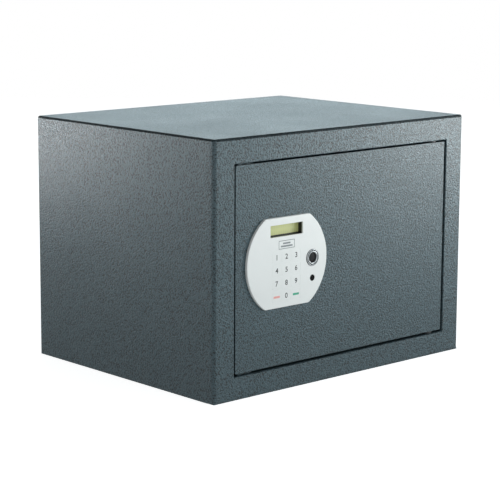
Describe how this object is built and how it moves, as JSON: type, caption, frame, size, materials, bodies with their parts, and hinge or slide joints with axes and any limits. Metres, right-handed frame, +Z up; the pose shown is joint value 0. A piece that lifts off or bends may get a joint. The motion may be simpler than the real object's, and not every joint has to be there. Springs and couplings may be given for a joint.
{
  "type": "in-room safe",
  "caption": "Textured steel in-room safe with a flush right-hinged door, motor-driven side bolts, round-sided white keypad fascia with display and reader, and floor and wall anchor holes.",
  "frame": {"origin": "middle of the cabinet's underside, on the floor plane", "axes": "+Z up; the door faces -Y; +X is to the right as one faces the door, which is the hinge side"},
  "size_m": [0.442, 0.3537, 0.32],
  "materials": {
    "hammer_paint": "orange-peel textured powder coat, semi-gloss",
    "inner_paint": "smooth satin powder coat",
    "zinc_steel": "zinc plated",
    "bright_steel": "polished plate",
    "nylon": "moulded natural nylon",
    "white_plastic": "moulded, fine satin",
    "red_key": "moulded, printed red bar",
    "green_key": "moulded, printed green bar",
    "black_plastic": "moulded, satin",
    "black_rubber": "matt",
    "mat_felt": "needle felt",
    "display": "liquid crystal panel, unlit",
    "badge_grey": "satin, blank",
    "circuit_green": "solder mask",
    "amber_film": "polyimide film",
    "lead_red": "moulded",
    "cell_wrap": "shrink sleeve, plain"
  },
  "bodies": {
    "cabinet": {"cabinet_wrap": "hammer_paint", "base_plate": "hammer_paint", "back_panel": "hammer_paint", "front_frame": "hammer_paint", "hinge_plates": "hammer_paint", "hinge_bushes": "nylon", "thrust_washers": "black_plastic", "door_stops": "hammer_paint", "stop_buffers": "black_rubber", "floor_mat": "mat_felt"},
    "door": {"door_plate": "hammer_paint", "hinge_lugs": "hammer_paint", "hinge_pins": "zinc_steel", "bolt_channel": "zinc_steel", "guide_bushes": "nylon", "gearbox": "black_plastic", "motor": "zinc_steel", "motor_strap": "zinc_steel", "rack_guide": "nylon", "bolt_switch": "black_plastic", "fascia": "white_plastic", "push_nuts": "zinc_steel", "key_membrane": "circuit_green", "membrane_tail": "amber_film", "display_bezel": "black_plastic", "display_glass": "display", "display_board": "circuit_green", "badge": "badge_grey", "reader_ring": "bright_steel", "reader_pad": "black_plastic", "power_contact": "black_plastic", "panel_nuts": "zinc_steel", "control_board": "circuit_green", "board_spacers": "nylon", "board_screws": "zinc_steel", "motor_lead": "lead_red", "battery_tray": "black_plastic", "battery_cells": "cell_wrap", "battery_contacts": "zinc_steel", "battery_lead": "lead_red", "inner_cover": "inner_paint", "cover_posts": "zinc_steel", "cover_screws": "zinc_steel"},
    "bolt_carriage": {"bolt_bar": "zinc_steel", "locking_bolts": "zinc_steel"},
    "pinion": {"pinion": "nylon"},
    "battery_cover": {"battery_cover": "black_plastic"},
    "reset_button": {"reset_button": "lead_red"},
    "key_1": {"key_1": "white_plastic"},
    "key_2": {"key_2": "white_plastic"},
    "key_3": {"key_3": "white_plastic"},
    "key_4": {"key_4": "white_plastic"},
    "key_5": {"key_5": "white_plastic"},
    "key_6": {"key_6": "white_plastic"},
    "key_7": {"key_7": "white_plastic"},
    "key_8": {"key_8": "white_plastic"},
    "key_9": {"key_9": "white_plastic"},
    "key_clear": {"key_clear": "red_key"},
    "key_0": {"key_0": "white_plastic"},
    "key_enter": {"key_enter": "green_key"}
  },
  "joints": [
    {"name": "door_hinge", "type": "hinge", "parent": "cabinet", "child": "door", "pos_m": [0.1669, -0.1652, 0.16], "axis": [0, 0, 1], "range_deg": [0, 100]},
    {"name": "bolt_slide", "type": "slide", "parent": "door", "child": "bolt_carriage", "axis": [-1, 0, 0], "range_m": [0, 0.018]},
    {"name": "pinion_spin", "type": "hinge", "parent": "door", "child": "pinion", "pos_m": [-0.0138, -0.153, 0.1563], "axis": [0, 1, 0], "range_deg": [0, 172]},
    {"name": "battery_cover_slide", "type": "slide", "parent": "door", "child": "battery_cover", "axis": [0, 0, 1], "range_m": [0, 0.06]},
    {"name": "reset_button_press", "type": "slide", "parent": "door", "child": "reset_button", "axis": [0, -1, 0], "range_m": [0, 0.0012], "stiffness_N_per_m": 800, "springref_m": -0.0005},
    {"name": "key_1_press", "type": "slide", "parent": "door", "child": "key_1", "axis": [0, 1, 0], "range_m": [0, 0.0004], "stiffness_N_per_m": 2500, "springref_m": -0.0002},
    {"name": "key_2_press", "type": "slide", "parent": "door", "child": "key_2", "axis": [0, 1, 0], "range_m": [0, 0.0004], "stiffness_N_per_m": 2500, "springref_m": -0.0002},
    {"name": "key_3_press", "type": "slide", "parent": "door", "child": "key_3", "axis": [0, 1, 0], "range_m": [0, 0.0004], "stiffness_N_per_m": 2500, "springref_m": -0.0002},
    {"name": "key_4_press", "type": "slide", "parent": "door", "child": "key_4", "axis": [0, 1, 0], "range_m": [0, 0.0004], "stiffness_N_per_m": 2500, "springref_m": -0.0002},
    {"name": "key_5_press", "type": "slide", "parent": "door", "child": "key_5", "axis": [0, 1, 0], "range_m": [0, 0.0004], "stiffness_N_per_m": 2500, "springref_m": -0.0002},
    {"name": "key_6_press", "type": "slide", "parent": "door", "child": "key_6", "axis": [0, 1, 0], "range_m": [0, 0.0004], "stiffness_N_per_m": 2500, "springref_m": -0.0002},
    {"name": "key_7_press", "type": "slide", "parent": "door", "child": "key_7", "axis": [0, 1, 0], "range_m": [0, 0.0004], "stiffness_N_per_m": 2500, "springref_m": -0.0002},
    {"name": "key_8_press", "type": "slide", "parent": "door", "child": "key_8", "axis": [0, 1, 0], "range_m": [0, 0.0004], "stiffness_N_per_m": 2500, "springref_m": -0.0002},
    {"name": "key_9_press", "type": "slide", "parent": "door", "child": "key_9", "axis": [0, 1, 0], "range_m": [0, 0.0004], "stiffness_N_per_m": 2500, "springref_m": -0.0002},
    {"name": "key_clear_press", "type": "slide", "parent": "door", "child": "key_clear", "axis": [0, 1, 0], "range_m": [0, 0.0004], "stiffness_N_per_m": 2500, "springref_m": -0.0002},
    {"name": "key_0_press", "type": "slide", "parent": "door", "child": "key_0", "axis": [0, 1, 0], "range_m": [0, 0.0004], "stiffness_N_per_m": 2500, "springref_m": -0.0002},
    {"name": "key_enter_press", "type": "slide", "parent": "door", "child": "key_enter", "axis": [0, 1, 0], "range_m": [0, 0.0004], "stiffness_N_per_m": 2500, "springref_m": -0.0002}
  ],
  "couplings": [
    {"joint": "pinion_spin", "follows": "bolt_slide", "rad_per_m": 166.67}
  ]
}
